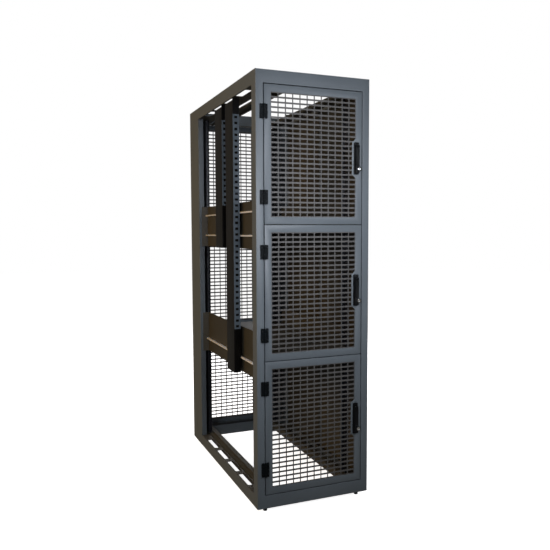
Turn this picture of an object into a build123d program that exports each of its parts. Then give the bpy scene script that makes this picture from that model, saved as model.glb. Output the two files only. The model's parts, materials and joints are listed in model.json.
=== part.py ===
"""Three-compartment server rack cabinet with inset mesh doors front and rear.

Millimetres, +Z up. The origin is on the floor under the middle of the cabinet,
-Y is the front, and the left side, which has no panel, is towards -X.
"""
import os

from build123d import *

# ---------------------------------------------------------------- driving sizes
cabinet_width = 600.0
cabinet_depth = 1200.0
frame_height = 2080.0
foot_rise = 20.0              # floor to the underside of the frame

sheet = 2.0                   # folded steel of the frame and doors
thin_sheet = 1.5              # ducts and side panels
cut_over = 1.0                # how far a cut runs past the face that it opens
weld_lap = 1.0                # how far one welded shape runs into the next

# door surround, the welded ring at the front and at the rear
side_band = 38.0
top_band = 62.0
bottom_band = 64.0
surround_depth = 55.0
pillar_depth = 200.0          # the rear corner posts reach further forward
pillar_flange = 30.0

# doors
door_gap = 4.0
compartments = 3
door_depth = 25.0
stile = 34.0                  # width of the door's plain border
grille_sheet = 2.0
grille_lap = 8.0              # how far the grille runs behind the border
hole_columns = 12
hole_rows = 25
hole_web_x = 5.0
hole_web_z = 8.0
grille_clearance = 2.0        # round the shafts that pass through the grille
pad_width = 20.0              # plain pad behind the handle
pad_half_height = 97.0

# hinges
hinge_height = 67.0
hinge_inset = 126.0           # hinge centre from the door's end
pin_radius = 3.0
knuckle_radius = 6.5
knuckle_face_gap = 0.5        # knuckles to the door's face
leaf_thickness = 8.0
leaf_reach_frame = 20.0
leaf_reach_door = 17.0
running_fit = 0.05
knuckle_gap = 0.3
pin_cap_radius = 5.5

# swing handles
handle_width = 26.0
handle_height = 156.0
handle_inset = 32.0           # handle centre from the door's free edge
base_corner = 4.0
base_thickness = 8.0
lever_width = 20.0
lever_thickness = 12.0
lever_gap = 0.5
lever_end_gap = 2.5           # lever's tip to the lock's housing
spindle_from_top = 20.0
spindle_radius = 5.0
head_width = 8.0
head_radius = 5.0
head_side_gap = 0.4
head_end_gap = 2.0
trunnion_radius = 2.0
trunnion_inset = 1.0          # its ends lie this far inside the lever's sides
lock_offset = 9.0             # lock centre beside the lever's centre line
barrel_from_bottom = 26.0
barrel_radius = 9.0
barrel_reach = 16.0
barrel_tail = 20.0            # behind the door's face
housing_wall = 3.0            # round the barrel
housing_height = 12.5         # above the base, level with the lever
keyway = (2.0, 8.0, 4.0)      # width, height and depth
cam_standoff = 2.0            # behind the door's folded edge
cam_length = 30.0
cam_width = 16.0
cam_thickness = 3.0
bore_clearance = 0.5          # plain clearance round a shaft that runs in another bore

# side rails, roof and base
slot_count = 4
slot_length = 150.0
slot_width = 36.0
slot_pitch = 195.0
slot_centre_x = 26.0          # slot centre from the cabinet's side
slot_corner = 8.0
roof_flange_reach = 52.0      # how far the roof flange reaches inside the mounting rails
lip_height = 18.0
base_channel_width = 52.0
base_channel_height = 36.0
base_channel_rise = 4.0       # its outer half stands this far above the slotted flange
base_step = 6.0               # its inner half stands this much higher again
base_step_inset = 24.0        # from the channel's outer edge
roof_flange_drop = 1.0        # slotted roof flange below the surround's inner sheet
roof_beam_offset = 18.0       # gap between the slotted flange and the roof beam
roof_beam_width = 59.0
roof_beam_height = 16.0

# dividers and their side plates
divider_thickness = 42.0
side_plate_height = 240.0
tie_bar_height = 8.0
tie_bar_offsets = {"upper": (62.0, -57.0), "lower": (-46.0,)}

# 19 inch rails
unit = 44.45
rail_hole_spacing = 465.1     # across the cabinet, centre to centre
rail_edge = 13.45             # hole centre to the rail's outer face
rail_clear_width = 450.0      # between the rail flanges
rail_hole = 9.5
rail_hole_offsets = (6.35, 22.225, 38.1)
front_rail_depth = 50.0
rear_rail_depth = 80.0
front_rail_setback = 100.0    # rail face from the cabinet's front
rear_rail_setback = 90.0

# cable ducts on the left side
duct_width = 125.0
duct_depth = 36.0
duct_top_gap = 12.0           # under the roof flange
middle_duct_y = -2.5          # duct centres along the depth
bottom_duct_y = -192.5
duct_hanger_height = 82.0     # bracket that hangs a duct from the roof flange
duct_hanger_tab = 20.0

# right side panels
panel_return = 15.0
panel_seam = 2.0
panel_seam_y = -64.0

# levelling feet
foot_inset_x = 49.0
foot_inset_y = 30.0
stud_radius = 6.0
stud_top_gap = 4.0            # stud's top to the roof of the bottom band
foot_radius = 10.0
foot_height = 8.0
foot_block = 32.0
foot_block_height = 12.0

# ---------------------------------------------------------------- worked out
half_width = cabinet_width / 2
half_depth = cabinet_depth / 2
frame_bottom = foot_rise
frame_top = foot_rise + frame_height
opening_half = half_width - side_band
opening_bottom = frame_bottom + bottom_band
opening_top = frame_top - top_band
opening_height = opening_top - opening_bottom
door_width = 2 * opening_half - 2 * door_gap
door_height = (opening_height - (compartments + 1) * door_gap) / compartments
door_pitch = door_height + door_gap
door_half = door_width / 2
window_width = door_width - 2 * stile
window_height = door_height - 2 * stile
pin_x = -(door_half + door_gap / 2)
pin_standoff = knuckle_radius + knuckle_face_gap      # pin axis in front of the face
hinge_offset = door_height / 2 - hinge_inset
handle_x = door_half - handle_inset
spindle_z = handle_height / 2 - spindle_from_top
barrel_z = -handle_height / 2 + barrel_from_bottom
barrel_x = handle_x + lock_offset
housing_radius = barrel_radius + housing_wall
lever_tip = barrel_z + housing_radius + lever_end_gap
pivot_out = base_thickness + lever_gap + lever_thickness / 2
ring_back = half_depth - surround_depth
pillar_front = half_depth - pillar_depth
rail_middle = (pillar_front - ring_back) / 2
bottom_flange_top = opening_bottom - sheet
top_flange_bottom = opening_top - sheet - roof_flange_drop
channel_top = bottom_flange_top + base_channel_rise
inner_x = rail_hole_spacing / 2 + rail_edge       # outer face of the mounting rails
bottom_flange = half_width - inner_x - sheet
top_flange = half_width - inner_x + roof_flange_reach
units_per_bay = int((door_pitch - divider_thickness) // unit)
plate_x = inner_x + sheet                         # outer face of the side plates
tie_bar_depth = half_width - sheet - duct_depth - plate_x
stud_top = opening_bottom - sheet - stud_top_gap
levels = {
    "bottom": opening_bottom + door_gap + door_height / 2,
    "middle": opening_bottom + door_gap + door_height / 2 + door_pitch,
    "top": opening_bottom + door_gap + door_height / 2 + 2 * door_pitch,
}
divider_levels = {
    "lower": levels["bottom"] + door_pitch / 2,
    "upper": levels["middle"] + door_pitch / 2,
}
# workplanes on the door faces: x to the right as seen from outside, y up, z outwards
sides = {
    "front": Plane(origin=(0, -half_depth, 0), x_dir=(1, 0, 0), z_dir=(0, -1, 0)),
    "rear": Plane(origin=(0, half_depth, 0), x_dir=(-1, 0, 0), z_dir=(0, 1, 0)),
}

os.makedirs("parts", exist_ok=True)


def save(builder, name):
    """Label a finished piece and write its STEP file."""
    builder.part.label = name
    export_step(builder.part, f"parts/{name}.step")


def block(plane, xs, ys, zs, mode=Mode.ADD):
    """Add a rectangular block to the open part, spans given in the plane's own axes."""
    with BuildSketch(plane.offset(min(zs))) as outline:
        with Locations(((xs[0] + xs[1]) / 2, (ys[0] + ys[1]) / 2)):
            Rectangle(abs(xs[1] - xs[0]), abs(ys[1] - ys[0]))
    extrude(outline.sketch, amount=abs(zs[1] - zs[0]), mode=mode)


def disc(plane, x, y, radius, zs, mode=Mode.ADD):
    """Add a round boss, or a hole with Mode.SUBTRACT, normal to the plane."""
    with BuildSketch(plane.offset(min(zs))) as outline:
        with Locations((x, y)):
            Circle(radius)
    extrude(outline.sketch, amount=abs(zs[1] - zs[0]), mode=mode)


def ring(plane, outer, inner, centre, zs):
    """Add a rectangular ring between two (width, height) sizes."""
    with BuildSketch(plane.offset(min(zs))) as outline:
        with Locations(centre):
            Rectangle(*outer)
            Rectangle(*inner, mode=Mode.SUBTRACT)
    extrude(outline.sketch, amount=abs(zs[1] - zs[0]))


# ---------------------------------------------------------------- welded frame
def make_surround(side):
    """Box-section ring that the three doors close into, with blocks for the feet."""
    plane = sides[side]
    centre = (0, frame_bottom + frame_height / 2)
    opening_centre = (0, (opening_bottom + opening_top) / 2)
    opening = (2 * opening_half, opening_height)
    outer = (cabinet_width, frame_height)
    with BuildPart() as surround:
        for back in (-sheet, -surround_depth):
            with BuildSketch(plane.offset(back)) as face:
                with Locations(centre):
                    Rectangle(*outer)
                with Locations(opening_centre):
                    Rectangle(*opening, mode=Mode.SUBTRACT)
            extrude(face.sketch, amount=sheet)
        ring(plane, outer, (outer[0] - 2 * sheet, outer[1] - 2 * sheet), centre,
             (-surround_depth, 0))
        ring(plane, (opening[0] + 2 * sheet, opening[1] + 2 * sheet), opening,
             opening_centre, (-surround_depth, 0))
        for x in (-1, 1):
            foot_x = x * (half_width - foot_inset_x)
            block(plane, (foot_x - foot_block / 2, foot_x + foot_block / 2),
                  (frame_bottom, frame_bottom + foot_block_height),
                  (-foot_inset_y - foot_block / 2, -foot_inset_y + foot_block / 2))
        if side == "rear":
            for x in (-1, 1):
                web = (x * (half_width - sheet), x * half_width)
                block(plane, web, (frame_bottom, frame_top), (-pillar_depth, -surround_depth))
                block(plane, (x * (half_width - pillar_flange), x * half_width),
                      (frame_bottom, frame_top), (-pillar_depth, -pillar_depth + sheet))
        y_foot = plane.origin.Y * (1 - foot_inset_y / half_depth)
        for x in (-1, 1):
            disc(Plane.XY, x * (half_width - foot_inset_x), y_foot,
                 stud_radius + running_fit,
                 (frame_bottom - cut_over, frame_bottom + foot_block_height + cut_over),
                 Mode.SUBTRACT)
    save(surround, f"{side}_frame")


for side in sides:
    make_surround(side)

slot_spots = [
    (half_width - slot_centre_x, rail_middle + (i - (slot_count - 1) / 2) * slot_pitch)
    for i in range(slot_count)
]

with BuildPart() as bottom_side_rails:
    span = (-ring_back, pillar_front)
    block(Plane.XY, (half_width - sheet, half_width), span, (frame_bottom, bottom_flange_top))
    block(Plane.XY, (half_width - bottom_flange, half_width), span,
          (bottom_flange_top - sheet, bottom_flange_top))
    block(Plane.XY, (half_width - bottom_flange, half_width - bottom_flange + sheet), span,
          (bottom_flange_top - lip_height, bottom_flange_top))
    with BuildSketch(Plane.XY.offset(bottom_flange_top - sheet)) as slots:
        with Locations(*slot_spots):
            RectangleRounded(slot_width, slot_length, slot_corner)
    extrude(slots.sketch, amount=sheet, mode=Mode.SUBTRACT)
    mirror(about=Plane.YZ)
save(bottom_side_rails, "bottom_side_rails")

with BuildPart() as top_side_rails:
    span = (-ring_back, pillar_front)
    inner_edge = half_width - top_flange
    block(Plane.XY, (half_width - sheet, half_width), span, (top_flange_bottom, frame_top))
    block(Plane.XY, (inner_edge, half_width), span,
          (top_flange_bottom, top_flange_bottom + sheet))
    block(Plane.XY, (inner_edge, half_width - pillar_flange), (pillar_front, ring_back),
          (top_flange_bottom, top_flange_bottom + sheet))
    block(Plane.XY, (inner_edge, inner_edge + sheet), (-ring_back, ring_back),
          (top_flange_bottom, top_flange_bottom + lip_height))
    with BuildSketch(Plane.XY.offset(top_flange_bottom)) as slots:
        with Locations(*slot_spots):
            RectangleRounded(slot_width, slot_length, slot_corner)
    extrude(slots.sketch, amount=sheet, mode=Mode.SUBTRACT)
    mirror(about=Plane.YZ)
save(top_side_rails, "top_side_rails")


def channel(x_span, z_web, z_tip):
    """Channel along the whole depth: a flat web and two legs towards z_tip."""
    span = (-ring_back, ring_back)
    away = 1 if z_tip > z_web else -1
    block(Plane.XY, x_span, span, (z_web, z_web + away * sheet))
    block(Plane.XY, (x_span[0], x_span[0] + sheet), span, (z_web, z_tip))
    block(Plane.XY, (x_span[1] - sheet, x_span[1]), span, (z_web, z_tip))


channel_inner = inner_x - base_channel_width
step_x = inner_x - base_step_inset
raised_top = channel_top + base_step
roof_beam_top = top_flange_bottom + sheet
roof_beam_outer = half_width - top_flange - roof_beam_offset
with BuildPart() as depth_channels:
    # base channels, one on each side, with a step that keeps cables in
    channel((channel_inner, step_x), raised_top, channel_top - base_channel_height)
    channel((step_x - sheet, inner_x), channel_top, channel_top - base_channel_height)
    mirror(about=Plane.YZ)
    # the roof beam is on the left only, beside the cable slots
    channel((-roof_beam_outer, -roof_beam_outer + roof_beam_width), roof_beam_top,
            roof_beam_top - roof_beam_height)
save(depth_channels, "depth_channels")


# ---------------------------------------------------------------- dividers
bay_floor = {
    "bottom": channel_top,
    "middle": divider_levels["lower"] + divider_thickness / 2,
    "top": divider_levels["upper"] + divider_thickness / 2,
}
bay_ceiling = {
    "bottom": divider_levels["lower"] - divider_thickness / 2,
    "middle": divider_levels["upper"] - divider_thickness / 2,
    "top": top_flange_bottom,
}
divider_front = half_depth - door_depth - 2 * sheet

with BuildPart() as dividers:
    for level in divider_levels.values():
        low = level - divider_thickness / 2
        high = level + divider_thickness / 2
        for sheet_span in ((high - sheet, high), (low, low + sheet)):
            block(Plane.XY, (-inner_x, inner_x), (-divider_front, divider_front), sheet_span)
        for end in (-1, 1):
            block(Plane.XY, (-opening_half, opening_half),
                  (end * divider_front, end * (divider_front - sheet)), (low, high))
            block(Plane.XY, (end * (inner_x - sheet), end * inner_x),
                  (-divider_front, divider_front), (low, high))
save(dividers, "compartment_dividers")

with BuildPart() as side_plates:
    for level in divider_levels.values():
        heights = (level - side_plate_height / 2, level + side_plate_height / 2)
        block(Plane.XY, (inner_x, plate_x), (-ring_back, pillar_front), heights)
        block(Plane.XY, (inner_x, half_width - panel_return), (-ring_back, -ring_back + sheet),
              heights)
        block(Plane.XY, (inner_x, half_width - panel_return),
              (pillar_front - sheet, pillar_front), heights)
    mirror(about=Plane.YZ)
save(side_plates, "divider_side_plates")

with BuildPart() as cable_tie_bars:
    for name, offsets in tie_bar_offsets.items():
        for offset in offsets:
            z = divider_levels[name] + offset
            block(Plane.XY, (plate_x, plate_x + tie_bar_depth),
                  (-ring_back + sheet, pillar_front - sheet), (z, z + tie_bar_height))
    mirror(about=Plane.YZ)
save(cable_tie_bars, "cable_tie_bars")


# ---------------------------------------------------------------- 19 inch rails
flange_x = rail_clear_width / 2
rail_sets = (
    (-half_depth + front_rail_setback, 1, front_rail_depth),
    (half_depth - rear_rail_setback, -1, rear_rail_depth),
)
with BuildPart() as mounting_rails:
    for face_y, inward, depth in rail_sets:
        for bay, floor in bay_floor.items():
            ceiling = bay_ceiling[bay]
            heights = (floor, ceiling)
            back_y = face_y + inward * depth
            block(Plane.XY, (flange_x, inner_x), (face_y, face_y + inward * sheet), heights)
            block(Plane.XY, (inner_x - sheet, inner_x), (face_y, back_y), heights)
            block(Plane.XY, (flange_x, inner_x), (back_y - inward * sheet, back_y), heights)
            first = (floor + ceiling - units_per_bay * unit) / 2
            spots = [
                (rail_hole_spacing / 2, first + u * unit + offset)
                for u in range(units_per_bay)
                for offset in rail_hole_offsets
            ]
            with BuildSketch(Plane.XZ.offset(-face_y - sheet)) as holes:
                with Locations(*spots):
                    Rectangle(rail_hole, rail_hole)
            extrude(holes.sketch, amount=2 * sheet, mode=Mode.SUBTRACT)
    mirror(about=Plane.YZ)
save(mounting_rails, "mounting_rails")


# ---------------------------------------------------------------- cable ducts
duct_top = top_flange_bottom - duct_top_gap


def make_duct(name, y, level):
    """Rectangular sheet tube from the roof to the compartment under a divider."""
    bottom = level - side_plate_height / 2
    xs = (-half_width + sheet, -half_width + sheet + duct_depth)
    ys = (y - duct_width / 2, y + duct_width / 2)
    with BuildPart() as duct:
        block(Plane.XY, xs, ys, (bottom, duct_top))
        block(Plane.XY, (xs[0] + thin_sheet, xs[1] - thin_sheet),
              (ys[0] + thin_sheet, ys[1] - thin_sheet), (bottom, duct_top), Mode.SUBTRACT)
        block(Plane.XY, xs, (ys[0] - sheet, ys[0]),
              (top_flange_bottom - duct_hanger_height, top_flange_bottom))
        block(Plane.XY, xs, (ys[0], ys[0] + duct_hanger_tab),
              (top_flange_bottom - sheet, top_flange_bottom))
    save(duct, name)


make_duct("middle_cable_duct", middle_duct_y, divider_levels["upper"])
make_duct("bottom_cable_duct", bottom_duct_y, divider_levels["lower"])

# ---------------------------------------------------------------- right side panels
with BuildPart() as side_panels:
    z_span = (bottom_flange_top, top_flange_bottom)
    for y_span in ((-ring_back, panel_seam_y - panel_seam / 2),
                   (panel_seam_y + panel_seam / 2, pillar_front)):
        block(Plane.XY, (half_width - thin_sheet, half_width), y_span, z_span)
        for edge, inward in ((y_span[0], 1), (y_span[1], -1)):
            block(Plane.XY, (half_width - panel_return, half_width),
                  (edge, edge + inward * thin_sheet), z_span)
save(side_panels, "right_side_panels")


# ---------------------------------------------------------------- hinges
def knuckle_spans(centre):
    """Heights of the lower, middle and upper thirds of a hinge, with gaps between."""
    third = hinge_height / 3
    low = centre - hinge_height / 2
    return [
        (low + i * third + knuckle_gap / 2, low + (i + 1) * third - knuckle_gap / 2)
        for i in range(3)
    ]


def upright(plane, height):
    """Horizontal workplane over a door face: x to the right, y inwards, z up."""
    return Plane(origin=plane.origin + (0, 0, height), x_dir=plane.x_dir, z_dir=(0, 0, 1))


def hinge_half(plane, centre, door_side):
    """Leaf on the face, with the knuckles that belong to this half."""
    sign = 1 if door_side else -1
    reach = leaf_reach_door if door_side else leaf_reach_frame
    inner = knuckle_radius + bore_clearance
    spans = knuckle_spans(centre)
    block(plane, (pin_x + sign * inner, pin_x + sign * reach),
          (centre - hinge_height / 2, centre + hinge_height / 2), (0, leaf_thickness))
    for low, high in (spans[0], spans[2]) if door_side else (spans[1],):
        block(plane, (pin_x, pin_x + sign * (inner + weld_lap)), (low, high),
              (bore_clearance, leaf_thickness))
        level = upright(plane, low)
        disc(level, pin_x, -pin_standoff, knuckle_radius, (0, high - low))
        disc(level, pin_x, -pin_standoff, pin_radius + running_fit, (0, high - low),
             Mode.SUBTRACT)


with BuildPart() as frame_hinge_halves:
    for plane in sides.values():
        for centre in levels.values():
            for offset in (-hinge_offset, hinge_offset):
                hinge_half(plane, centre + offset, False)
save(frame_hinge_halves, "frame_hinge_halves")

with BuildPart() as hinge_pins:
    for plane in sides.values():
        for centre in levels.values():
            for offset in (-hinge_offset, hinge_offset):
                low = centre + offset - hinge_height / 2
                disc(upright(plane, low), pin_x, -pin_standoff, pin_radius,
                     (0, hinge_height))
                disc(upright(plane, low - sheet), pin_x, -pin_standoff, pin_cap_radius,
                     (0, sheet))
save(hinge_pins, "hinge_pins")


# ---------------------------------------------------------------- doors
def make_door(side, level_name):
    """One mesh door with its hinge halves, handle, cam and lock."""
    plane = sides[side]
    centre = levels[level_name]
    tag = f"{side}_{level_name}"
    spindle = (handle_x, centre + spindle_z)
    barrel = (barrel_x, centre + barrel_z)

    with BuildPart() as door_frame:
        with BuildSketch(plane.offset(-sheet)) as face:
            with Locations((0, centre)):
                Rectangle(door_width, door_height)
                Rectangle(window_width, window_height, mode=Mode.SUBTRACT)
            window_edge = window_width / 2
            with BuildLine():
                Polyline(
                    (window_edge + weld_lap, centre - pad_half_height - weld_lap),
                    (window_edge - pad_width, centre - pad_half_height + pad_width),
                    (window_edge - pad_width, centre + pad_half_height - pad_width),
                    (window_edge + weld_lap, centre + pad_half_height + weld_lap),
                    close=True,
                )
            make_face()
            with Locations(spindle):
                Circle(spindle_radius + bore_clearance, mode=Mode.SUBTRACT)
            with Locations(barrel):
                Circle(barrel_radius + bore_clearance, mode=Mode.SUBTRACT)
        extrude(face.sketch, amount=sheet)
        ring(plane, (door_width, door_height),
             (door_width - 2 * sheet, door_height - 2 * sheet), (0, centre),
             (-door_depth, 0))
    save(door_frame, f"{tag}_door_frame")

    pitch_x = window_width / hole_columns
    pitch_z = window_height / hole_rows
    with BuildPart() as grille:
        with BuildSketch(plane.offset(-sheet - grille_sheet)) as panel:
            with Locations((0, centre)):
                Rectangle(window_width + 2 * grille_lap, window_height + 2 * grille_lap)
                with GridLocations(pitch_x, pitch_z, hole_columns, hole_rows):
                    Rectangle(pitch_x - hole_web_x, pitch_z - hole_web_z,
                              mode=Mode.SUBTRACT)
            for spot, radius in ((spindle, spindle_radius), (barrel, barrel_radius)):
                with Locations(spot):
                    Rectangle(2 * (radius + grille_clearance), 2 * (radius + grille_clearance),
                              mode=Mode.SUBTRACT)
        extrude(panel.sketch, amount=grille_sheet)
    save(grille, f"{tag}_grille")

    with BuildPart() as hinge_halves:
        for offset in (-hinge_offset, hinge_offset):
            hinge_half(plane, centre + offset, True)
    save(hinge_halves, f"{tag}_hinge_halves")

    housing_top = base_thickness + housing_height
    with BuildPart() as handle_base:
        with BuildSketch(plane) as outline:
            with Locations((handle_x, centre)):
                RectangleRounded(handle_width, handle_height, base_corner)
            with Locations(barrel):
                Circle(housing_radius)
        extrude(outline.sketch, amount=base_thickness)
        # the lock's housing fills the base below the lever, with a round lobe at its side
        housing_span = (centre - handle_height / 2 + base_corner, barrel[1] + housing_radius)
        block(plane, (handle_x - lever_width / 2, barrel_x), housing_span, (0, housing_top))
        disc(plane, *barrel, housing_radius, (0, housing_top))
        disc(plane, *barrel, barrel_radius + running_fit, (0, housing_top), Mode.SUBTRACT)
        disc(plane, *spindle, spindle_radius + running_fit, (0, base_thickness), Mode.SUBTRACT)
    save(handle_base, f"{tag}_handle_base")

    # the spindle carries the cam behind the door and the lever's trunnions in front
    tilt_plane = Plane(origin=plane.origin, x_dir=(0, 0, 1),
                       z_dir=plane.x_dir)
    with BuildPart() as cam_spindle:
        cam_front = -door_depth - cam_standoff
        disc(plane, *spindle, spindle_radius, (cam_front, base_thickness))
        block(plane, (handle_x - head_width / 2, handle_x + head_width / 2),
              (spindle[1] - head_width / 2, spindle[1] + head_width / 2),
              (base_thickness, pivot_out))
        disc(tilt_plane, spindle[1], pivot_out, head_radius,
             (handle_x - head_width / 2, handle_x + head_width / 2))
        disc(tilt_plane, spindle[1], pivot_out, trunnion_radius,
             (handle_x - lever_width / 2 + trunnion_inset,
              handle_x + lever_width / 2 - trunnion_inset))
        block(plane, (handle_x - cam_width / 2, handle_x + cam_length),
              (spindle[1] - cam_width / 2, spindle[1] + cam_width / 2),
              (cam_front - cam_thickness, cam_front))
    save(cam_spindle, f"{tag}_cam_spindle")

    lever_top = lever_thickness / 2
    with BuildPart() as lever:
        block(plane, (handle_x - lever_width / 2, handle_x + lever_width / 2),
              (centre + lever_tip, spindle[1]),
              (pivot_out - lever_top, pivot_out + lever_top))
        disc(tilt_plane, spindle[1], pivot_out, lever_top,
             (handle_x - lever_width / 2, handle_x + lever_width / 2))
        block(plane,
              (handle_x - head_width / 2 - head_side_gap,
               handle_x + head_width / 2 + head_side_gap),
              (spindle[1] - head_radius - head_end_gap, spindle[1] + lever_top),
              (pivot_out - lever_top, pivot_out + lever_top), Mode.SUBTRACT)
        disc(tilt_plane, spindle[1], pivot_out, trunnion_radius + running_fit,
             (handle_x - lever_width / 2, handle_x + lever_width / 2), Mode.SUBTRACT)
    save(lever, f"{tag}_handle_lever")

    with BuildPart() as lock_barrel:
        barrel_face = base_thickness + barrel_reach
        disc(plane, *barrel, barrel_radius, (-barrel_tail, barrel_face))
        block(plane, (barrel_x - keyway[0] / 2, barrel_x + keyway[0] / 2),
              (barrel[1] - keyway[1] / 2, barrel[1] + keyway[1] / 2),
              (barrel_face - keyway[2], barrel_face), Mode.SUBTRACT)
    save(lock_barrel, f"{tag}_lock_barrel")


for side in sides:
    for level_name in levels:
        make_door(side, level_name)

# ---------------------------------------------------------------- levelling feet
for front_or_rear, y_sign in (("front", -1), ("rear", 1)):
    for hand, x_sign in (("left", -1), ("right", 1)):
        spot = (x_sign * (half_width - foot_inset_x), y_sign * (half_depth - foot_inset_y))
        with BuildPart() as foot:
            disc(Plane.XY, *spot, foot_radius, (0, foot_height))
            disc(Plane.XY, *spot, stud_radius, (foot_height, stud_top))
        save(foot, f"{front_or_rear}_{hand}_foot")
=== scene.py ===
"""A three-compartment server rack cabinet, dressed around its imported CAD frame.

Metres, +Z up. -Y is the front, the open side is towards -X.
"""
import json
import math

import bmesh
import bpy
from mathutils import Matrix, Vector


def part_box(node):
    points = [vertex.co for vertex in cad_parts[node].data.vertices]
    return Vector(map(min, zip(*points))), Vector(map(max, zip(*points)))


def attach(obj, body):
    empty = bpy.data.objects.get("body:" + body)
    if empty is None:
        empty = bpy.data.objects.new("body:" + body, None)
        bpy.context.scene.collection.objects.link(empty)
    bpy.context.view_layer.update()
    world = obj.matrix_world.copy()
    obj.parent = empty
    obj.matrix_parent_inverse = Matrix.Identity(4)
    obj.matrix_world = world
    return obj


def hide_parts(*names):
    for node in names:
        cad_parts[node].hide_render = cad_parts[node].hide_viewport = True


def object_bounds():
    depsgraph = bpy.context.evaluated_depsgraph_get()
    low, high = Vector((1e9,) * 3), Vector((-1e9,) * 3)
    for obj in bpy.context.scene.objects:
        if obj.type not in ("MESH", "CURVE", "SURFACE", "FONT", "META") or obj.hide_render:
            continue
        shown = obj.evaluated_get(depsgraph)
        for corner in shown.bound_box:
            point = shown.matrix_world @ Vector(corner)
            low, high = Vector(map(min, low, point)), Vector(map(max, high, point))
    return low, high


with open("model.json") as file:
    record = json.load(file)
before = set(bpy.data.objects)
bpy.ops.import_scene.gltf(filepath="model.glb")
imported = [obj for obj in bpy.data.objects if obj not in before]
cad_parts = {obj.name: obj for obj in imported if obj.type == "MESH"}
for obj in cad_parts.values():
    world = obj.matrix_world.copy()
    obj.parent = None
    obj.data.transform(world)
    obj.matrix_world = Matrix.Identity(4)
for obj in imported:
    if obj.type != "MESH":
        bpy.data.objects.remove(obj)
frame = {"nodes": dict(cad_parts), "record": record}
cad_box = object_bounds()
record = frame["record"]
slot_of = {row["node"]: row["material_slot"] for row in record["subparts"]}
sides = ("front", "rear")
levels = ("bottom", "middle", "top")

MM = 0.001
CREASE = math.radians(30.0)      # edges sharper than this are rounded, or shaded sharp
FLAT = math.radians(1.0)         # neighbouring faces that differ by less are joined up
WELD = 0.005 * MM                # CAD corners nearer than this are one corner
SPIN_WELD = 0.002 * MM           # the same for the seam and the poles of a turned shape
IN_PLANE = 0.05 * MM             # a corner this near a plane lies in it
SQUARE_ON = 0.9                  # cosine past which a face looks along an axis
EDGE_ON = 0.1                    # cosine under which it looks across the axis

# sheet steel
FRAME_BEND = 2.5 * MM
SHEET_EDGE = 0.8 * MM
BAR_EDGE = 1.5 * MM
RAIL_BEND = 1.5 * MM
DUCT_BEND = 2.0 * MM
BEND_LENGTH = 150.0 * MM         # in rails and ducts, only edges longer than this are bends
OUTER_SHARE = 0.99               # outer faces lie past this share of half the width
# painted shade in the door gaps: black on the frame's faces round each opening
GAP_SHADE_REACH = 5.0 * MM            # past the doors' edges: the gap, and a little more
GAP_SHADE_DEPTH = 60.0 * MM           # back from the frame's outer plane

# duct covers
HANGER_HEIGHT = 60.0 * MM
DUCT_END = 230.0 * MM            # plain end of a duct below its cover
ON_DUCT_FACE = 0.1 * MM          # a corner this near the duct's front lies on it
COVER_EDGE = 1.0 * MM            # in from the duct's sides
COVER_STAND = 1.5 * MM           # out from the duct's front
COVER_PITCH = 30.0 * MM          # punched slots up the cover
COVER_WEB = 12.5 * MM            # metal all round a slot, within its own pitch
PUNCH_TAPER = 0.2 * MM
PUNCH_DEPTH = 0.9 * COVER_STAND

# hinges and their screws
HINGE_EDGE = 1.0 * MM
HINGE_HALF = 33.5 * MM           # half a hinge's height
LEAF_THICKNESS = 8.0 * MM
LEAF_SPAN = 37.0 * MM            # both leaves of a closed hinge together
HEAD_RADIUS = 3.8 * MM           # button-head screws
HEAD_HEIGHT = 2.2 * MM
HEAD_SUNK = 0.2 * MM             # a head starts a little way inside the leaf
HEAD_STEPS = 12
SCREW_RISE = 21.0 * MM           # screws above and below a hinge's middle
SCREW_INSET = 5.5 * MM           # screws in from a hinge leaf's outer edge

# doors and handles
DOOR_BEND = 1.2 * MM
HANDLE_EDGE = 1.2 * MM
SPINDLE_EDGE = 0.5 * MM
LOCK_EDGE = 0.7 * MM
LEVER_EDGE = 0.9 * MM
LEVER_SLOPE = 3.0 * MM           # width of the slope round the lever's dished face
LEVER_DISH = 2.0 * MM

# feet
FOOT_EDGE = 0.8 * MM
NUT_RADIUS = 10.5 * MM           # to the corners
NUT_HEIGHT = 6.0 * MM            # without its crowns
NUT_DROP = 0.2 * MM              # its plain sides end this far under the frame
NUT_CHAMFER = 0.8 * MM
NUT_CROWN = 0.5 * MM             # height of an end's chamfer; the upper end enters the frame
NUT_WALL = 1.6 * MM              # from the chamfer in to the bore

# light
AMBIENT = 0.13
FLOOR_GLOW = 0.93
FLOOR_RADIUS = 20.0
BACKDROP_RADIUS = 19.0


# ---------------------------------------------------------------- camera
def place_camera():
    """Eye height, standing off the front left corner."""
    eye = (-1.3072, -3.3257, 1.3530)
    heading = math.radians(-21.99)       # turned to the right
    tilt = math.radians(90.0 - 3.97)     # a little below level
    roll = math.radians(-0.23)
    data = bpy.data.cameras.new("camera")
    data.sensor_width = 36.0
    data.lens = 40.8
    data.clip_end = 100.0
    camera = bpy.data.objects.new("camera", data)
    bpy.context.scene.collection.objects.link(camera)
    turn = Matrix.Rotation(heading, 4, "Z") @ Matrix.Rotation(tilt, 4, "X")
    turn = turn @ Matrix.Rotation(roll, 4, "Z")
    camera.matrix_world = Matrix.Translation(eye) @ turn
    bpy.context.scene.camera = camera


# ---------------------------------------------------------------- materials
def linear(hex_colour):
    """sRGB hex to linear red, green, blue, alpha."""
    value = hex_colour.lstrip("#")
    out = []
    for i in (0, 2, 4):
        c = int(value[i:i + 2], 16) / 255.0
        out.append(c / 12.92 if c <= 0.04045 else ((c + 0.055) / 1.055) ** 2.4)
    return (*out, 1.0)


def add_node(tree, kind, settings=None, links=None):
    """One shader node: settings go to its properties or sockets, links to its inputs."""
    made = tree.nodes.new(kind)
    for key, value in (settings or {}).items():
        if isinstance(key, str) and hasattr(made, key):
            setattr(made, key, value)
        else:
            made.inputs[key].default_value = value
    for key, source in (links or {}).items():
        tree.links.new(source, made.inputs[key])
    return made


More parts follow.
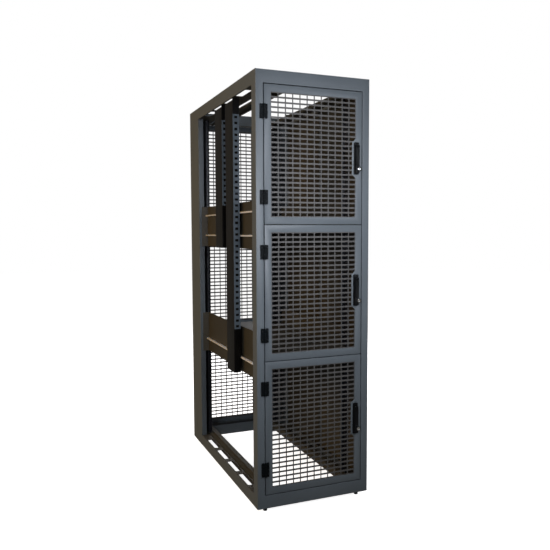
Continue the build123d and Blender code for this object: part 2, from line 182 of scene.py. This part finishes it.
def new_material(name):
    """An empty node material and its tree, with object coordinates ready."""
    material = bpy.data.materials.new(name)
    material.use_nodes = True
    tree = material.node_tree
    tree.nodes.clear()
    return material, tree, add_node(tree, "ShaderNodeTexCoord").outputs["Object"]


def finish_material(tree, shader):
    """Join a shader to the material's output."""
    add_node(tree, "ShaderNodeOutputMaterial", None, {"Surface": shader})


def two_tone(tree, source, dark, light, low=0.3, high=0.7):
    """Colour that runs between two sRGB hex values as the source rises."""
    ramp = add_node(tree, "ShaderNodeValToRGB", None, {"Fac": source})
    ramp.color_ramp.elements[0].position = low
    ramp.color_ramp.elements[0].color = linear(dark)
    ramp.color_ramp.elements[1].position = high
    ramp.color_ramp.elements[1].color = linear(light)
    return ramp.outputs["Color"]


def powder_coat(name, light, dark, roughness=0.42, grain_mm=4.0, bump=0.3, specular=0.35):
    """Polyester powder coat baked on steel.

    The powder melts into a satin skin with an orange-peel of about a millimetre and a half.
    On all but the small hinges it is drawn coarser, so that it shows. The colour carries the
    same grain, and broad faint clouds of handling marks and dust, a third of a metre across.
    """
    material, tree, place = new_material(name)
    clouds = add_node(tree, "ShaderNodeTexNoise", {"Scale": 3.0, "Detail": 5.0},
                      {"Vector": place})
    peel = add_node(tree, "ShaderNodeTexNoise", {"Scale": 1.0 / (grain_mm * MM), "Detail": 2.0},
                    {"Vector": place})
    both = add_node(tree, "ShaderNodeMath", {"operation": "ADD"},
                    {0: clouds.outputs["Fac"], 1: peel.outputs["Fac"]})
    lumps = add_node(tree, "ShaderNodeBump", {"Strength": bump, "Distance": 0.3 * MM},
                     {"Height": peel.outputs["Fac"]})
    rough = add_node(tree, "ShaderNodeMapRange",
                     {"To Min": roughness - 0.07, "To Max": roughness + 0.07},
                     {"Value": clouds.outputs["Fac"]})
    half = add_node(tree, "ShaderNodeMath", {"operation": "MULTIPLY", 1: 0.5},
                    {0: both.outputs["Value"]})
    skin = add_node(tree, "ShaderNodeBsdfPrincipled",
                    {"Metallic": 0.0, "IOR": 1.5, "Specular IOR Level": specular},
                    {"Base Color": two_tone(tree, half.outputs["Value"], dark, light, 0.4, 0.6),
                     "Normal": lumps.outputs["Normal"], "Roughness": rough.outputs["Result"]})
    finish_material(tree, skin.outputs["BSDF"])
    return material


def moulded_nylon(name, light, dark, roughness=0.45):
    """Glass-filled nylon from a spark-eroded mould.

    Its fine matt grain is half a millimetre, and its flow marks are about 40 mm across.
    """
    material, tree, place = new_material(name)
    grain = add_node(tree, "ShaderNodeTexVoronoi", {"Scale": 1.0 / (0.5 * MM)},
                     {"Vector": place})
    flow = add_node(tree, "ShaderNodeTexNoise", {"Scale": 1.0 / (40.0 * MM), "Detail": 3.0},
                    {"Vector": place})
    lumps = add_node(tree, "ShaderNodeBump", {"Strength": 0.25, "Distance": 0.08 * MM},
                     {"Height": grain.outputs["Distance"]})
    skin = add_node(tree, "ShaderNodeBsdfPrincipled",
                    {"Metallic": 0.0, "IOR": 1.53, "Roughness": roughness,
                     "Specular IOR Level": 0.16},
                    {"Base Color": two_tone(tree, flow.outputs["Fac"], dark, light),
                     "Normal": lumps.outputs["Normal"]})
    finish_material(tree, skin.outputs["BSDF"])
    return material


def plated(name, light, dark, roughness, grain_mm=1.1):
    """Plated or turned metal: bright, with the marks of the bath or the tool in its gloss."""
    material, tree, place = new_material(name)
    marks = add_node(tree, "ShaderNodeTexNoise", {"Scale": 1.0 / (grain_mm * MM), "Detail": 2.0},
                     {"Vector": place})
    rough = add_node(tree, "ShaderNodeMapRange",
                     {"To Min": max(roughness - 0.05, 0.02), "To Max": roughness + 0.06},
                     {"Value": marks.outputs["Fac"]})
    skin = add_node(tree, "ShaderNodeBsdfPrincipled", {"Metallic": 1.0},
                    {"Base Color": two_tone(tree, marks.outputs["Fac"], dark, light),
                     "Roughness": rough.outputs["Result"]})
    finish_material(tree, skin.outputs["BSDF"])
    return material


def galvanised(name):
    """Hot-dip zinc on rolled strip: pale, with spangle crystals about 12 mm across."""
    material, tree, place = new_material(name)
    spangle = add_node(tree, "ShaderNodeTexVoronoi", {"Scale": 1.0 / (12.0 * MM)},
                       {"Vector": place})
    skin = add_node(tree, "ShaderNodeBsdfPrincipled",
                    {"Metallic": 0.3, "Roughness": 0.35},
                    {"Base Color": two_tone(tree, spangle.outputs["Distance"], "#f1f2f8",
                                            "#fdfdff", 0.0, 0.8)})
    finish_material(tree, skin.outputs["BSDF"])
    return material


paint = {
    "frame_paint": powder_coat("blue-grey powder coat", "#61686d", "#5a6166"),
    # inner_paint is the frame's coat painted darker and olive: painted shade of the cabinet's
    # inside
    "inner_paint": powder_coat("inner powder coat with painted shade", "#444137", "#39362e", 0.48),
    "mesh_paint": powder_coat("grille powder coat", "#5a5856", "#4b4a49", 0.5),
    "rail_paint": powder_coat("black rail powder coat", "#1d1f26", "#16171c", 0.34),
    "duct_paint": powder_coat("black duct powder coat", "#141211", "#0e0d0c", 0.36,
                              specular=0.14),
    "hinge_black": powder_coat("black hinge lacquer", "#0d1316", "#090d0f", 0.5, 1.5, 0.2, 0.08),
    "handle_black": moulded_nylon("moulded black nylon", "#0b0d10", "#07080a"),
    "steel_pin": plated("turned steel", "#5c5f64", "#4a4d52", 0.32),
    "zinc_cam": plated("black zinc plating", "#303236", "#242629", 0.38),
    "lock_chrome": plated("bright chrome", "#f4f6f8", "#e8ebee", 0.10),
    "foot_zinc": plated("blackened zinc", "#45464a", "#333437", 0.4),
    "bar_zinc": galvanised("galvanised strip"),
}
cover_paint = powder_coat("pale blue-grey duct cover coat", "#66717a", "#59636c", 0.4)
screw_black = plated("blackened screw steel", "#26282b", "#1b1d1f", 0.35)


# ---------------------------------------------------------------- floor and light
def link_stage(name, shape, material):
    """A floor or backdrop from a bmesh; it isn't part of the cabinet."""
    mesh = bpy.data.meshes.new(name)
    shape.to_mesh(mesh)
    shape.free()
    mesh.materials.append(material)
    made = bpy.data.objects.new(name, mesh)
    bpy.context.scene.collection.objects.link(made)
    return made


def light_up():
    """Softbox in front, warm light on the open side, plain soft lights on the other sides."""
    world = bpy.data.worlds.new("studio")
    bpy.context.scene.world = world
    world.use_nodes = True
    back = world.node_tree.nodes["Background"]
    back.inputs["Color"].default_value = linear("#f4eee2")
    back.inputs["Strength"].default_value = AMBIENT
    for name, place, aim, size, spread, power, colour in (
        ("softbox", (0.0, -2.3, 1.75), (0.0, -0.6, 1.4), (1.2, 0.8), 88.0, 9.6, "#f1f5ff"),
        ("side_light", (-4.2, 0.5, 2.2), (0.0, 0.0, 1.1), (2.2, 2.2), 180.0, 62.0, "#ffc668"),
        ("inside_light", (-2.2, -2.6, 1.9), (-0.3, -0.2, 1.2), (0.8, 1.4), 180.0, 24.0,
         "#e4ebf6"),
        ("rear_light", (2.4, 3.6, 2.4), (0.0, 0.6, 1.1), (2.0, 2.0), 180.0, 90.0, "#f6f7fb"),
        ("right_light", (3.8, -0.3, 2.4), (0.3, 0.0, 1.1), (2.0, 2.0), 180.0, 70.0, "#f6f7fb"),
        ("top_light", (0.0, 0.4, 4.6), (0.0, 0.0, 2.1), (1.6, 1.6), 110.0, 26.0, "#f6f7fb"),
    ):
        lamp = bpy.data.lights.new(name, "AREA")
        lamp.energy = power
        lamp.shape = "RECTANGLE"
        lamp.size, lamp.size_y = size
        lamp.spread = math.radians(spread)
        lamp.color = linear(colour)[:3]
        lamp_object = bpy.data.objects.new(name, lamp)
        lamp_object.location = place
        lamp_object.rotation_euler = (Vector(aim) - Vector(place)).to_track_quat(
            "-Z", "Y").to_euler()
        bpy.context.scene.collection.objects.link(lamp_object)

    # a bright floor, so that shadows on it stay faint
    material, tree, place = new_material("pale floor paint")
    grain = add_node(tree, "ShaderNodeTexNoise", {"Scale": 6.0}, {"Vector": place})
    shine = add_node(tree, "ShaderNodeBsdfDiffuse", None,
                     {"Color": two_tone(tree, grain.outputs["Fac"], "#f2f2f2", "#fafafa")})
    glow = add_node(tree, "ShaderNodeEmission",
                    {"Color": linear("#ffffff"), "Strength": FLOOR_GLOW})
    both = add_node(tree, "ShaderNodeAddShader", None,
                    {0: shine.outputs["BSDF"], 1: glow.outputs["Emission"]})
    finish_material(tree, both.outputs["Shader"])
    shape = bmesh.new()
    bmesh.ops.create_circle(shape, cap_ends=True, segments=64, radius=FLOOR_RADIUS)
    floor = link_stage("floor", shape, material)
    floor.visible_diffuse = False
    floor.visible_glossy = False

    material, tree, _ = new_material("white backdrop")
    glow = add_node(tree, "ShaderNodeEmission", {"Color": linear("#ffffff"), "Strength": 1.0})
    finish_material(tree, glow.outputs["Emission"])
    shape = bmesh.new()
    bmesh.ops.create_icosphere(shape, subdivisions=4, radius=BACKDROP_RADIUS)
    bmesh.ops.reverse_faces(shape, faces=shape.faces)
    backdrop = link_stage("backdrop", shape, material)
    for flag in ("visible_diffuse", "visible_glossy", "visible_transmission", "visible_shadow",
                 "visible_volume_scatter"):
        setattr(backdrop, flag, False)


# ---------------------------------------------------------------- shaping helpers
def make_piece(name, shape, material, body, stands_for=()):
    """Turn a bmesh into a piece that rides on a body, smooth except at its creases."""
    mesh = bpy.data.meshes.new(name)
    shape.to_mesh(mesh)
    shape.free()
    mesh.materials.append(material)
    mesh.shade_smooth()
    mesh.set_sharp_from_angle(angle=CREASE)
    piece = bpy.data.objects.new(name, mesh)
    bpy.context.scene.collection.objects.link(piece)
    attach(piece, body)
    if stands_for:
        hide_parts(*stands_for)
    return piece


def cad_copy(node):
    """A welded copy of a CAD node's mesh, with its flat faces joined up again."""
    shape = bmesh.new()
    shape.from_mesh(frame["nodes"][node].data)
    bmesh.ops.remove_doubles(shape, verts=shape.verts, dist=WELD)
    bmesh.ops.dissolve_limit(shape, angle_limit=FLAT, verts=shape.verts, edges=shape.edges,
                             delimit={"NORMAL"})
    return shape


def is_crease(edge):
    """True on an edge between two faces that meet more sharply than CREASE."""
    return edge.is_manifold and edge.calc_face_angle() > CREASE


def round_edges(shape, edges, radius, segments=2):
    """Bevel edges to a radius."""
    bmesh.ops.bevel(shape, geom=list(edges), offset=radius, offset_type="OFFSET",
                    affect="EDGES", segments=segments, profile=0.5, material=-1,
                    clamp_overlap=True)


def soften(node, body, radius, segments=2, on_y=None, longer_than=0.0):
    """Replace a CAD node by its own shape with rounded edges.

    on_y keeps to the edges that lie at one Y, longer_than to the long bends.
    """
    shape = cad_copy(node)
    edges = [edge for edge in shape.edges
             if is_crease(edge) and edge.calc_length() > longer_than]
    if on_y is not None:
        edges = [edge for edge in edges
                 if all(abs(vert.co.y - on_y) < IN_PLANE for vert in edge.verts)]
    round_edges(shape, edges, radius, segments)
    slot = slot_of[node]
    return make_piece(node + "_finished", shape, paint[slot], body, (node,))


def add_turned(shape, profile, matrix, steps=24):
    """Spin a profile of (radius, height) points round its own axis; ends lie on the axis."""
    verts = [shape.verts.new((radius, 0.0, height)) for radius, height in profile]
    edges = [shape.edges.new(pair) for pair in zip(verts, verts[1:])]
    made = bmesh.ops.spin(shape, geom=verts + edges, cent=(0, 0, 0), axis=(0, 0, 1),
                          angle=math.tau, steps=steps, use_merge=True)
    made_verts = {v for v in made["geom_last"] if isinstance(v, bmesh.types.BMVert)}
    grown = set(verts) | made_verts
    faces = set()
    front = list(grown)
    while front:
        vert = front.pop()
        for face in vert.link_faces:
            if face not in faces:
                faces.add(face)
                for other in face.verts:
                    if other not in grown:
                        grown.add(other)
                        front.append(other)
    bmesh.ops.remove_doubles(shape, verts=list(grown), dist=SPIN_WELD)
    alive = [vert for vert in grown if vert.is_valid]
    own = list({face for vert in alive for face in vert.link_faces})
    bmesh.ops.recalc_face_normals(shape, faces=own)
    bmesh.ops.transform(shape, matrix=matrix, verts=alive)


def outer_plane(side):
    """The Y of a side's outer face, which its closed doors lie flush with."""
    low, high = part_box(f"{side}_frame")
    return low[1] if side == "front" else high[1]


def face_frame(side):
    """Axes on a side's outer face: x to the right from outside, y up, z outwards."""
    outer_y = outer_plane(side)
    if side == "front":
        return Matrix(((1, 0, 0, 0), (0, 0, -1, outer_y), (0, 1, 0, 0), (0, 0, 0, 1)))
    return Matrix(((-1, 0, 0, 0), (0, 0, 1, outer_y), (0, 1, 0, 0), (0, 0, 0, 1)))


# ---------------------------------------------------------------- welded frame

def finish_sheet_metal():
    """Folded and welded steel: outer bends rounded, cut edges broken."""
    for side in sides:
        outer_y = outer_plane(side)
        ring = soften(f"{side}_frame", "root", FRAME_BEND, 3, on_y=outer_y)
        # painted shade in the gaps round the doors
        paint_gap_shade(ring, side, outer_y)
    for node in ("depth_channels", "compartment_dividers", "divider_side_plates"):
        soften(node, "root", SHEET_EDGE, 1)
    # faces that look out from the cabinet's two sides have the frame's own coat; the inward
    # faces keep their slot's paint, and the dark inner coat there is painted shade
    outer_x = OUTER_SHARE * cad_box[1][0]
    for node in ("bottom_side_rails", "top_side_rails", "right_side_panels"):
        piece = soften(node, "root", SHEET_EDGE, 1)
        piece.data.materials.append(paint["frame_paint"])
        for face in piece.data.polygons:
            outside = face.normal.x * face.center.x > outer_x
            face.material_index = 1 if outside else 0
    soften("cable_tie_bars", "root", BAR_EDGE, 2)


def paint_gap_shade(ring, side, outer_y):
    """Painted shade in the gaps round the doors: black on the ring's faces that look across Y.

    It keeps near the outer plane and stops just past the doors' tops and sides. It has no
    lower limit.
    """
    corners = [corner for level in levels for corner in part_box(f"{side}_{level}_door_frame")]
    half = max(abs(corner[0]) for corner in corners) + GAP_SHADE_REACH
    top = max(corner[2] for corner in corners) + GAP_SHADE_REACH
    # the black rail coat here is painted shade, not a part of its own
    ring.data.materials.append(paint["rail_paint"])
    for face in ring.data.polygons:
        middle = face.center
        inside = abs(middle.x) < half and middle.z < top and abs(middle.y - outer_y) < GAP_SHADE_DEPTH
        if inside and abs(face.normal.y) < EDGE_ON:
            face.material_index = 1


def finish_rails_and_ducts():
    """Rolled rails and ducts: long bends rounded, and a cover on each duct's front."""
    soften("mounting_rails", "root", RAIL_BEND, 2, longer_than=BEND_LENGTH)
    for node in ("middle_cable_duct", "bottom_cable_duct"):
        soften(node, "root", DUCT_BEND, 2, longer_than=BEND_LENGTH)
        cover_duct(node)


def cover_duct(node):
    """Punched cover on a duct's front, from its hanger down to its plain end.

    It has no back: its rim stops at the duct's face.
    """
    verts = [vert.co for vert in frame["nodes"][node].data.vertices]
    low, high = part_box(node)
    trunk = [co for co in verts if co.z < (low[2] + high[2]) / 2]
    face = min(co.y for co in trunk)
    hanger = high[2] - HANGER_HEIGHT
    top = max(co.z for co in verts if abs(co.y - face) < ON_DUCT_FACE and co.z < hanger)
    bottom = low[2] + DUCT_END
    left = min(co.x for co in trunk) + COVER_EDGE
    right = max(co.x for co in trunk) - COVER_EDGE
    rows = round((top - bottom) / COVER_PITCH)
    shape = bmesh.new()
    place = Matrix.Translation(((left + right) / 2, face - COVER_STAND, (top + bottom) / 2))
    place = place @ Matrix.Rotation(math.radians(90), 4, "X")
    place = place @ Matrix.Diagonal(((right - left) / 2, (top - bottom) / 2, 1.0, 1.0))
    bmesh.ops.create_grid(shape, x_segments=1, y_segments=rows, size=1.0, matrix=place)
    bmesh.ops.recalc_face_normals(shape, faces=shape.faces)
    if sum(pane.normal.y for pane in shape.faces) > 0:
        bmesh.ops.reverse_faces(shape, faces=shape.faces)
    rim = bmesh.ops.extrude_edge_only(
        shape, edges=[edge for edge in shape.edges if edge.is_boundary])
    rim_verts = [item for item in rim["geom"] if isinstance(item, bmesh.types.BMVert)]
    bmesh.ops.translate(shape, verts=rim_verts, vec=(0, COVER_STAND, 0))
    panes = [pane for pane in shape.faces if abs(pane.normal.y) > SQUARE_ON]
    bmesh.ops.inset_individual(shape, faces=panes, thickness=COVER_WEB, depth=0.0)
    bmesh.ops.inset_individual(shape, faces=panes, thickness=PUNCH_TAPER, depth=-PUNCH_DEPTH)
    bmesh.ops.delete(shape, geom=panes, context="FACES")
    make_piece(node + "_cover", shape, cover_paint, "root")


# ---------------------------------------------------------------- doors and hinges
def finish_door(side, level):
    """One door: bent edges, softened hinges, a dished lever and a chrome lock."""
    tag = f"{side}_{level}"
    axes = face_frame(side)
    soften(f"{tag}_door_frame", f"{tag}_door", DOOR_BEND, 2, on_y=axes.translation.y)
    soften(f"{tag}_hinge_halves", f"{tag}_door", HINGE_EDGE, 2)
    soften(f"{tag}_handle_base", f"{tag}_door", HANDLE_EDGE, 2)
    soften(f"{tag}_cam_spindle", f"{tag}_cam", SPINDLE_EDGE, 1)
    soften(f"{tag}_lock_barrel", f"{tag}_lock", LOCK_EDGE, 2)
    shape_lever(tag, axes)


def shape_lever(tag, axes):
    """Swing lever: rounded bar with a dished face, forked round the spindle's head."""
    shape = cad_copy(f"{tag}_handle_lever")
    local = axes.inverted().to_3x3()
    outer = max(shape.faces, key=lambda face: (
        (local @ face.normal).z > SQUARE_ON, face.calc_area()))
    bmesh.ops.inset_individual(shape, faces=[outer], thickness=LEVER_SLOPE, depth=-LEVER_DISH)
    round_edges(shape, [edge for edge in shape.edges if is_crease(edge)], LEVER_EDGE, 2)
    make_piece(f"{tag}_lever_finished", shape, paint["handle_black"], f"{tag}_lever",
               (f"{tag}_handle_lever",))


def add_screw(shape, centre, outwards):
    """Button-head screw with a recess, its head standing on a face that looks along Y."""
    turn = Matrix.Rotation(math.radians(90 if outwards < 0 else -90), 4, "X")
    recess = 0.4 * HEAD_HEIGHT
    profile = ((0.0, -HEAD_SUNK),
               (HEAD_RADIUS, -HEAD_SUNK),
               (HEAD_RADIUS, 0.3 * HEAD_HEIGHT),
               (0.75 * HEAD_RADIUS, 0.85 * HEAD_HEIGHT),
               (0.45 * HEAD_RADIUS, HEAD_HEIGHT),
               (0.40 * HEAD_RADIUS, recess),
               (0.0, recess))
    add_turned(shape, profile, Matrix.Translation(centre) @ turn, HEAD_STEPS)


def fit_hinge_screws():
    """Two screws in each hinge leaf, placed from the box round a door's hinge halves."""
    frame_screws = bmesh.new()
    for side in sides:
        outwards = -1 if side == "front" else 1
        leaf = LEAF_THICKNESS * outwards + outer_plane(side)
        for level in levels:
            tag = f"{side}_{level}"
            low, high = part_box(f"{tag}_hinge_halves")
            middle = (low[2] + high[2]) / 2
            reach = (high[2] - low[2]) / 2 - HINGE_HALF
            free = high[0] if outwards < 0 else low[0]
            door_screws = bmesh.new()
            for offset in (-reach, reach):
                for rise in (-SCREW_RISE, SCREW_RISE):
                    height = middle + offset + rise
                    add_screw(door_screws, (free + SCREW_INSET * outwards, leaf, height),
                              outwards)
                    add_screw(frame_screws,
                              (free + (LEAF_SPAN - SCREW_INSET) * outwards, leaf, height),
                              outwards)
            make_piece(f"{tag}_hinge_screws", door_screws, screw_black, f"{tag}_door")
    make_piece("frame_hinge_screws", frame_screws, screw_black, "root")


def finish_feet():
    """Levelling feet: softened pads, and a lock nut up against the frame."""
    for depth in sides:
        for hand in ("left", "right"):
            node = f"{depth}_{hand}_foot"
            soften(node, node, FOOT_EDGE, 2)
            low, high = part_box(node)
            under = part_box(f"{depth}_frame")[0][2]
            shape = bmesh.new()
            bmesh.ops.create_cone(
                shape, cap_ends=True, segments=6, radius1=NUT_RADIUS, radius2=NUT_RADIUS,
                depth=NUT_HEIGHT, matrix=Matrix.Translation(
                    ((low[0] + high[0]) / 2, (low[1] + high[1]) / 2,
                     under - NUT_HEIGHT / 2 - NUT_DROP)))
            ends = [end for end in shape.faces if abs(end.normal.z) > SQUARE_ON]
            bmesh.ops.inset_individual(shape, faces=ends, thickness=NUT_CHAMFER, depth=NUT_CROWN)
            bmesh.ops.inset_individual(shape, faces=ends, thickness=NUT_WALL, depth=0.0)
            loops = [edge for end in ends for edge in end.edges]
            bmesh.ops.delete(shape, geom=ends, context="FACES_ONLY")
            bmesh.ops.bridge_loops(shape, edges=loops)
            bmesh.ops.recalc_face_normals(shape, faces=shape.faces)
            make_piece(f"{node}_lock_nut", shape, paint["foot_zinc"], "root")


# ---------------------------------------------------------------- build
place_camera()
light_up()
bpy.context.scene.view_settings.view_transform = "Standard"
for name, obj in frame["nodes"].items():
    obj.data.materials.clear()
    obj.data.materials.append(paint[slot_of[name]])
finish_sheet_metal()
finish_rails_and_ducts()
fit_hinge_screws()
finish_feet()
for side in sides:
    for level in levels:
        finish_door(side, level)
